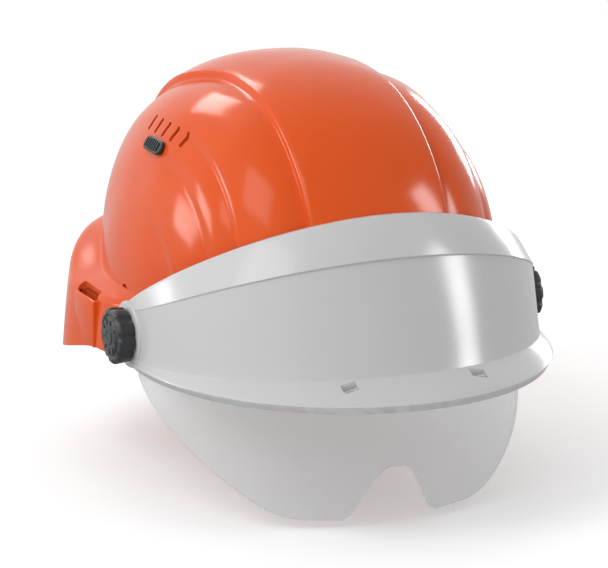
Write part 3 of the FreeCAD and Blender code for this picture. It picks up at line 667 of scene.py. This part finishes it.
def clamp_knob(side):
    """A scalloped knob with ribs and a hub on its face, and the threaded stud behind it."""
    place = outward_place(side, 118.8 * MM)
    profile = [(radius * MM, height * MM) for radius, height in knob_profile()]
    body = turned_solid("knob", profile, 288, place, scallops(SCALLOPS, 1.3 * MM, 12.0 * MM, 14.4 * MM))
    pieces = [body]
    for i in range(SCALLOPS):
        spin = 2 * math.pi * (i + 0.5) / SCALLOPS
        spot = place @ Matrix.Rotation(spin, 4, "Z") @ Matrix.Translation((8.6 * MM, 0, 10.35 * MM))
        pieces.append(capsule_mesh("rib", 3.2 * MM, 1.1 * MM, 0.9 * MM, spot))
    hub = [(0.2, 10.2), (4.6, 10.2), (4.9, 10.35), (4.9, 10.65), (4.6, 10.9), (3.4, 10.95), (3.1, 10.7)]
    hub.append((0.2, 10.7))
    pieces.append(turned_solid("hub", [(r * MM, h * MM) for r, h in hub], 72, place))
    stud = [(0.2, -28.3), (3.5, -28.3), (4.0, -27.8)]
    level = -27.2
    while level < -21.6:
        stud += [(4.0, level), (3.75, level + 0.35), (4.0, level + 0.7)]
        level += 0.8
    stud += [(4.0, -21.0), (4.0, 0.5), (0.2, 0.5)]
    pieces.append(turned_solid("stud", [(r * MM, h * MM) for r, h in stud], 48, place))
    knob = join("clamp_knob_%s_body" % ("left" if side > 0 else "right"), pieces)
    sharp_by_angle(knob, 34)
    return knob


knobs = {label: clamp_knob(side) for label, side in SIDES.items()}

# ---------------------------------------------------------------- vent sliders


def vent_slider(side):
    """A thumb slider with cross ribs, and the stem that reaches the shutter through the window."""
    place = vent_place(side)[0]
    grip = capsule_mesh("grip", 24 * MM, 8.5 * MM, 2.2 * MM, place @ Matrix.Translation((0, 0, 1.5 * MM)))
    bevel(grip, 0.6 * MM, 3, 50)
    apply_modifiers(grip)
    rib_list = []
    crosswise = Matrix.Rotation(math.pi / 2, 4, "Z")
    for i in range(7):
        spot = place @ Matrix.Translation(((i - 3) * 2.6 * MM, 0, 2.75 * MM)) @ crosswise
        rib = capsule_mesh("rib", (6.4 - 0.4 * abs(i - 3)) * MM, 1.1 * MM, 1.6 * MM, spot)
        bevel(rib, 0.25 * MM, 2, 50)
        apply_modifiers(rib)
        rib_list.append(rib)
    stem = capsule_mesh("stem", 4.2 * MM, 2.8 * MM, 9 * MM, place @ Matrix.Translation((0, 0, -4 * MM)))
    slider = join("vent_slider_%s_body" % ("left" if side > 0 else "right"), [grip, stem] + rib_list)
    sharp_by_angle(slider, 34)
    return slider


sliders = {label: vent_slider(side) for label, side in SIDES.items()}

# ---------------------------------------------------------------- pads


PAD_VOXEL = 2.1 * MM
SWELL_FRAMES = 20


def inflate(piece, most):
    """Swell a closed mesh with a short cloth simulation, moving no point further than a limit."""
    remesh = piece.modifiers.new("even", "REMESH")
    remesh.mode = "VOXEL"
    remesh.voxel_size = PAD_VOXEL
    apply_modifiers(piece)
    rest = np.array([vertex.co[:] for vertex in piece.data.vertices])
    cloth = piece.modifiers.new("swell", "CLOTH")
    cloth.settings.quality = 5
    cloth.settings.mass = 0.2
    cloth.settings.tension_stiffness = 12
    cloth.settings.compression_stiffness = 12
    cloth.settings.bending_stiffness = 0.6
    cloth.settings.use_pressure = True
    cloth.settings.uniform_pressure_force = 4
    cloth.settings.effector_weights.gravity = 0
    cloth.point_cache.frame_start, cloth.point_cache.frame_end = 1, SWELL_FRAMES
    scene = bpy.context.scene
    for number in range(1, SWELL_FRAMES + 1):
        scene.frame_set(number)
    apply_modifiers(piece)
    scene.frame_set(1)
    swollen = np.array([vertex.co[:] for vertex in piece.data.vertices])
    move = swollen - rest
    length = np.linalg.norm(move, axis=1, keepdims=True)
    return rest + move * np.minimum(1, most / np.maximum(length, 1e-9))


def finish_pad(piece, points):
    """Move a pad's points into place and smooth it by one subdivision."""
    piece.data.vertices.foreach_set("co", np.asarray(points, np.float32).ravel())
    piece.data.update()
    finer = piece.modifiers.new("finer", "SUBSURF")
    finer.levels = finer.render_levels = 1
    apply_modifiers(piece)
    piece.data.shade_smooth()
    return piece


def brow_cushion():
    """The brow pad: a soft arc against the headband, with stitched channels between its cells."""
    start, end, columns, rows = math.radians(-69), math.radians(69), 140, 16
    lines = {}
    for face in ("back", "front"):
        grid = np.zeros((rows + 1, columns + 1, 3))
        for i, lift in enumerate(np.linspace(-1.4, 29.8, rows + 1)):
            for j, turn in enumerate(np.linspace(start, end, columns + 1)):
                crown = 1 - (2 * i / rows - 1) ** 4
                cell = abs(math.sin(turn * 13)) ** 0.35
                depth = 0.2 if face == "back" else 2.4 + 2.6 * crown * (0.35 + 0.65 * cell)
                grid[i, j] = ((77.5 - depth) * math.sin(turn), -(97.5 - depth) * math.cos(turn), lift)
        lines[face] = grid * MM
    pad = wall_object("brow_cushion", lines["back"], lines["front"])
    outward_normals(pad)
    points = inflate(pad, 1.1 * MM)
    reach = np.hypot(points[:, 0] / 77.6, points[:, 1] / 97.6) / MM
    points[:, :2] /= np.maximum(1, reach)[:, None]
    points[:, 2] = np.clip(points[:, 2], -2.0 * MM, 30.4 * MM)
    return finish_pad(pad, points)


def nape_cushion():
    """The nape pad: a rounded block, crowned on the side of the neck."""
    low, high = (-29.5 * MM, 72.6 * MM, -9.6 * MM), (29.5 * MM, 77.8 * MM, 21.6 * MM)
    pad = block_mesh("nape_cushion", low, high, 2.2 * MM)
    points = inflate(pad, 1.6 * MM)
    crown = (1 - (points[:, 0] / (30 * MM)) ** 4) * (1 - ((points[:, 2] - 6 * MM) / (16 * MM)) ** 4)
    points[:, 1] -= np.where(points[:, 1] < 76 * MM, 1.2 * MM * np.clip(crown, 0, 1), 0)
    points[:, 1] = np.minimum(points[:, 1], 77.9 * MM)
    return finish_pad(pad, points)


brow = brow_cushion()
nape = nape_cushion()

# ---------------------------------------------------------------- materials


def node_material(name, color, roughness, metallic=0.0):
    material = bpy.data.materials.new(name)
    material.use_nodes = True
    shader = material.node_tree.nodes["Principled BSDF"]
    shader.inputs["Base Color"].default_value = (*color, 1)
    shader.inputs["Roughness"].default_value = roughness
    shader.inputs["Metallic"].default_value = metallic
    return material, shader


def noise(material, scale, detail=4.0, roughness=0.5, stretch=(1, 1, 1)):
    tree = material.node_tree
    coords = tree.nodes.new("ShaderNodeTexCoord")
    mapping = tree.nodes.new("ShaderNodeMapping")
    mapping.inputs["Scale"].default_value = stretch
    texture = tree.nodes.new("ShaderNodeTexNoise")
    texture.inputs["Scale"].default_value = scale
    texture.inputs["Detail"].default_value = detail
    texture.inputs["Roughness"].default_value = roughness
    tree.links.new(coords.outputs["Object"], mapping.inputs["Vector"])
    tree.links.new(mapping.outputs["Vector"], texture.inputs["Vector"])
    return texture.outputs["Fac"]


def ramp(material, source, low, high, start=0.35, end=0.65):
    """A colour or grey that runs from low to high as the source runs from start to end."""
    node = material.node_tree.nodes.new("ShaderNodeValToRGB")
    grey = not hasattr(low, "__len__")
    node.color_ramp.elements[0].position = start
    node.color_ramp.elements[1].position = end
    node.color_ramp.elements[0].color = (low, low, low, 1) if grey else (*low, 1)
    node.color_ramp.elements[1].color = (high, high, high, 1) if grey else (*high, 1)
    material.node_tree.links.new(source, node.inputs["Fac"])
    return node.outputs["Color"]


def bump(material, shader, source, strength, distance):
    node = material.node_tree.nodes.new("ShaderNodeBump")
    node.inputs["Strength"].default_value = strength
    node.inputs["Distance"].default_value = distance
    material.node_tree.links.new(source, node.inputs["Height"])
    material.node_tree.links.new(node.outputs["Normal"], shader.inputs["Normal"])


def plastic(name, color, shade, roughness, spread=0.05, grain=900, depth=0.00002, shine=0.5):
    """Moulded plastic: slightly uneven colour and gloss, with a fine grain."""
    material, shader = node_material(name, color, roughness)
    link = material.node_tree.links.new
    broad = noise(material, 18, 3)
    link(ramp(material, broad, shade, color), shader.inputs["Base Color"])
    scuff = noise(material, 70, 6, 0.6)
    link(ramp(material, scuff, roughness - spread, roughness + spread), shader.inputs["Roughness"])
    bump(material, shader, noise(material, grain, 3), 0.25, depth)
    shader.inputs["Specular IOR Level"].default_value = shine
    return material


def darker(color, share):
    return tuple(channel * share for channel in color)


ORANGE = (0.83, 0.105, 0.016)
shell_plastic = plastic("shell_orange", ORANGE, darker(ORANGE, 0.96), 0.17, 0.02, 500, 0.000008, shine=0.22)
cover_plastic = plastic("cover_white", (0.66, 0.66, 0.665), (0.645, 0.645, 0.65), 0.2, 0.02, 500, 0.000008,
                        shine=0.4)
knob_plastic = plastic("knob_black", (0.035, 0.037, 0.04), (0.024, 0.025, 0.028), 0.38, 0.08, 1500, 0.00004)
harness_plastic = plastic("harness_black", (0.045, 0.047, 0.05), (0.03, 0.031, 0.034), 0.5, 0.08, 1200, 0.00005)
grey_plastic = plastic("grey_nylon_fine", (0.24, 0.245, 0.25), (0.19, 0.195, 0.2), 0.5, 0.08, 1200, 0.00005)


def steel_material():
    material, shader = node_material("zinc_steel_fine", (0.62, 0.63, 0.64), 0.32, 1.0)
    brushed = noise(material, 260, 4, 0.6, (1, 1, 6))
    link = material.node_tree.links.new
    link(ramp(material, brushed, 0.24, 0.42), shader.inputs["Roughness"])
    link(ramp(material, brushed, (0.55, 0.56, 0.57), (0.68, 0.69, 0.7)), shader.inputs["Base Color"])
    bump(material, shader, brushed, 0.15, 0.00003)
    return material


def lens_material():
    material, shader = node_material("lens_clear", (0.87, 0.885, 0.885), 0.06)
    shader.inputs["Alpha"].default_value = 0.42
    shader.inputs["IOR"].default_value = 1.55
    link = material.node_tree.links.new
    haze = noise(material, 40, 4)
    link(ramp(material, haze, 0.05, 0.09), shader.inputs["Roughness"])
    link(ramp(material, haze, (0.86, 0.875, 0.875), (0.88, 0.895, 0.895)), shader.inputs["Base Color"])
    bump(material, shader, noise(material, 8, 2), 0.05, 0.0001)
    return material


def woven_material(name, color, shade, scale):
    """Webbing or knitted cloth: two crossed bands of thread over a slightly uneven colour."""
    material, shader = node_material(name, color, 0.85)
    tree = material.node_tree
    coords = tree.nodes.new("ShaderNodeTexCoord")
    waves = []
    for axis in ("X", "Y"):
        wave = tree.nodes.new("ShaderNodeTexWave")
        wave.bands_direction = axis
        wave.inputs["Scale"].default_value = scale
        wave.inputs["Distortion"].default_value = 0.6
        tree.links.new(coords.outputs["Object"], wave.inputs["Vector"])
        waves.append(wave.outputs["Fac"])
    cross = tree.nodes.new("ShaderNodeMath")
    cross.operation = "MULTIPLY"
    tree.links.new(waves[0], cross.inputs[0])
    tree.links.new(waves[1], cross.inputs[1])
    tree.links.new(ramp(material, cross.outputs[0], shade, color, 0.1, 0.7), shader.inputs["Base Color"])
    bump(material, shader, cross.outputs[0], 0.5, 0.0003)
    shader.inputs["Sheen Weight"].default_value = 0.25
    return material


def foam_material():
    material, shader = node_material("pad_foam", (0.075, 0.078, 0.085), 0.9)
    tree = material.node_tree
    coords = tree.nodes.new("ShaderNodeTexCoord")
    cells = tree.nodes.new("ShaderNodeTexVoronoi")
    cells.inputs["Scale"].default_value = 700
    tree.links.new(coords.outputs["Object"], cells.inputs["Vector"])
    shades = ramp(material, cells.outputs["Distance"], (0.1, 0.104, 0.112), (0.05, 0.052, 0.058), 0.1, 0.6)
    tree.links.new(shades, shader.inputs["Base Color"])
    bump(material, shader, cells.outputs["Distance"], 0.5, 0.0003)
    shader.inputs["Sheen Weight"].default_value = 0.35
    return material


steel = steel_material()
lens_clear = lens_material()
webbing = woven_material("webbing_grey", (0.2, 0.205, 0.21), (0.09, 0.092, 0.098), 160)
foam = foam_material()


def dress(piece, material):
    """Give a piece one material."""
    piece.data.materials.clear()
    piece.data.materials.append(material)


# ---------------------------------------------------------------- riding and finishes

dress(shell, shell_plastic)
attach(shell, "helmet")
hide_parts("shell")

dress(cover, cover_plastic)
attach(cover, "helmet")
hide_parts("visor_cover")

dress(lens, lens_clear)
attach(lens, "lens")
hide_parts("lens")

for label in SIDES:
    dress(knobs[label], knob_plastic)
    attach(knobs[label], "knob_" + label)
    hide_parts("clamp_knob_" + label)
    dress(sliders[label], knob_plastic)
    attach(sliders[label], "vent_" + label)
    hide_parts("vent_slider_" + label)

for cushion, node_name in ((brow, "brow_pad"), (nape, "nape_pad")):
    dress(cushion, foam)
    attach(cushion, "helmet")
    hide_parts(node_name)

FINISHES = {
    "cover_catch_left": cover_plastic, "cover_catch_right": cover_plastic,
    "friction_washer_left": grey_plastic, "friction_washer_right": grey_plastic,
    "clamp_nut_left": steel, "clamp_nut_right": steel, "nape_screws": steel,
    "vent_shutter_left": harness_plastic, "vent_shutter_right": harness_plastic,
    "headband": harness_plastic, "nape_housing": harness_plastic, "nape_cover": harness_plastic,
    "nape_rack_left": grey_plastic, "nape_rack_right": grey_plastic, "ratchet_pinion": grey_plastic,
    "ratchet_knob": knob_plastic,
    "cradle_strap_middle": webbing, "cradle_strap_left": webbing, "cradle_strap_right": webbing,
    "crown_patch": foam,
}
for name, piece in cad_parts.items():
    if name.startswith("hanger_"):
        dress(piece, harness_plastic)
    elif name in FINISHES:
        dress(piece, FINISHES[name])

# ---------------------------------------------------------------- floor, light and camera


LIGHT_AIM = 0.05
FLOOR_LEVEL, FLOOR_HALF = -0.082, 6.0


def area_light(name, spot, size, power, size_y=None):
    data = bpy.data.lights.new(name, "AREA")
    data.shape = "RECTANGLE"
    data.size, data.size_y = size, size_y or size
    data.energy = power
    lamp = bpy.data.objects.new(name, data)
    bpy.context.scene.collection.objects.link(lamp)
    lamp.location = spot
    lamp.rotation_euler = (Vector((0, 0, LIGHT_AIM)) - Vector(spot)).to_track_quat("-Z", "Y").to_euler()
    return lamp


def aim(azimuth, elevation, distance):
    """A point round the object: azimuth 0 is in front of it and 90 on the wearer's left."""
    a, e = math.radians(azimuth), math.radians(elevation)
    flat = distance * math.cos(e)
    return (flat * math.sin(a), -flat * math.cos(a), LIGHT_AIM + distance * math.sin(e))


def sky():
    """A white surround that dims towards the brow side of the zenith and below the horizon."""
    world = bpy.data.worlds.new("studio")
    world.use_nodes = True
    tree = world.node_tree
    coords = tree.nodes.new("ShaderNodeTexCoord")
    shades = []
    dims = (((0.2, -0.55, 0.8), 1.0, 0.45, 0.25, 0.9), ((0, 0, 1), 0.42, 1.0, -0.5, 0.12))
    for way, low, high, start, end in dims:
        dot = tree.nodes.new("ShaderNodeVectorMath")
        dot.operation = "DOT_PRODUCT"
        dot.inputs[1].default_value = Vector(way).normalized()
        spread = tree.nodes.new("ShaderNodeMapRange")
        spread.interpolation_type = "SMOOTHSTEP"
        for socket, amount in zip(("From Min", "From Max", "To Min", "To Max"), (start, end, low, high)):
            spread.inputs[socket].default_value = amount
        tree.links.new(coords.outputs["Generated"], dot.inputs[0])
        tree.links.new(dot.outputs["Value"], spread.inputs["Value"])
        shades.append(spread.outputs["Result"])
    product = tree.nodes.new("ShaderNodeMath")
    product.operation = "MULTIPLY"
    tree.links.new(shades[0], product.inputs[0])
    tree.links.new(shades[1], product.inputs[1])
    tree.links.new(product.outputs[0], tree.nodes["Background"].inputs["Strength"])
    tree.nodes["Background"].inputs["Color"].default_value = (1, 1, 1, 1)
    bpy.context.scene.world = world


def studio():
    """The pale floor, the surround and the soft lights."""
    corners = [(x * FLOOR_HALF, y * FLOOR_HALF, FLOOR_LEVEL) for x, y in ((-1, -1), (1, -1), (1, 1), (-1, 1))]
    floor = new_object("floor", corners, [(0, 1, 2, 3)])
    paper, shader = node_material("paper_white", (0.93, 0.93, 0.93), 0.9)
    grain = noise(paper, 30, 4)
    shades = ramp(paper, grain, (0.92, 0.92, 0.92), (0.94, 0.94, 0.94))
    paper.node_tree.links.new(shades, shader.inputs["Base Color"])
    shader.inputs["Emission Color"].default_value = (1, 1, 1, 1)
    shader.inputs["Emission Strength"].default_value = 0.3
    shader.inputs["Specular IOR Level"].default_value = 0.0
    floor.data.materials.append(paper)
    floor.visible_diffuse = False
    floor.visible_glossy = False
    sky()
    area_light("key", aim(-70, 45, 1.8), 0.9, 9)
    for name, azimuth, elevation, width, height, power in (
            ("back_panel", -172, 38, 0.8, 0.5, 9), ("rear_left_panel", -118, 15, 0.8, 0.5, 11),
            ("rear_right_panel", 131, 8, 0.8, 0.4, 10), ("brow_strip", 57, 24, 0.42, 1.1, 24)):
        panel = area_light(name, aim(azimuth, elevation, 2.0), width, power, size_y=height)
        panel.visible_diffuse = False
    bpy.context.scene.view_settings.view_transform = "Standard"
    bpy.context.scene.view_settings.look = "None"


def camera():
    """A long lens, a little to the wearer's right and above."""
    azimuth, elevation = math.radians(-22.94), math.radians(14.34)
    back = Vector((math.sin(azimuth) * math.cos(elevation), -math.cos(azimuth) * math.cos(elevation),
                   math.sin(elevation)))
    right = Vector((math.cos(azimuth), math.sin(azimuth), 0))
    rise_way = back.cross(right)
    data = bpy.data.cameras.new("camera")
    data.lens = 251.2
    data.sensor_width = 36
    data.clip_end = 30
    seat = bpy.data.objects.new("camera", data)
    bpy.context.scene.collection.objects.link(seat)
    place = Matrix((right, rise_way, back)).transposed().to_4x4()
    place.translation = PIVOT + back * 2.371 - right * 0.0121 + rise_way * 0.0162
    seat.matrix_world = place
    bpy.context.scene.camera = seat


studio()
camera()
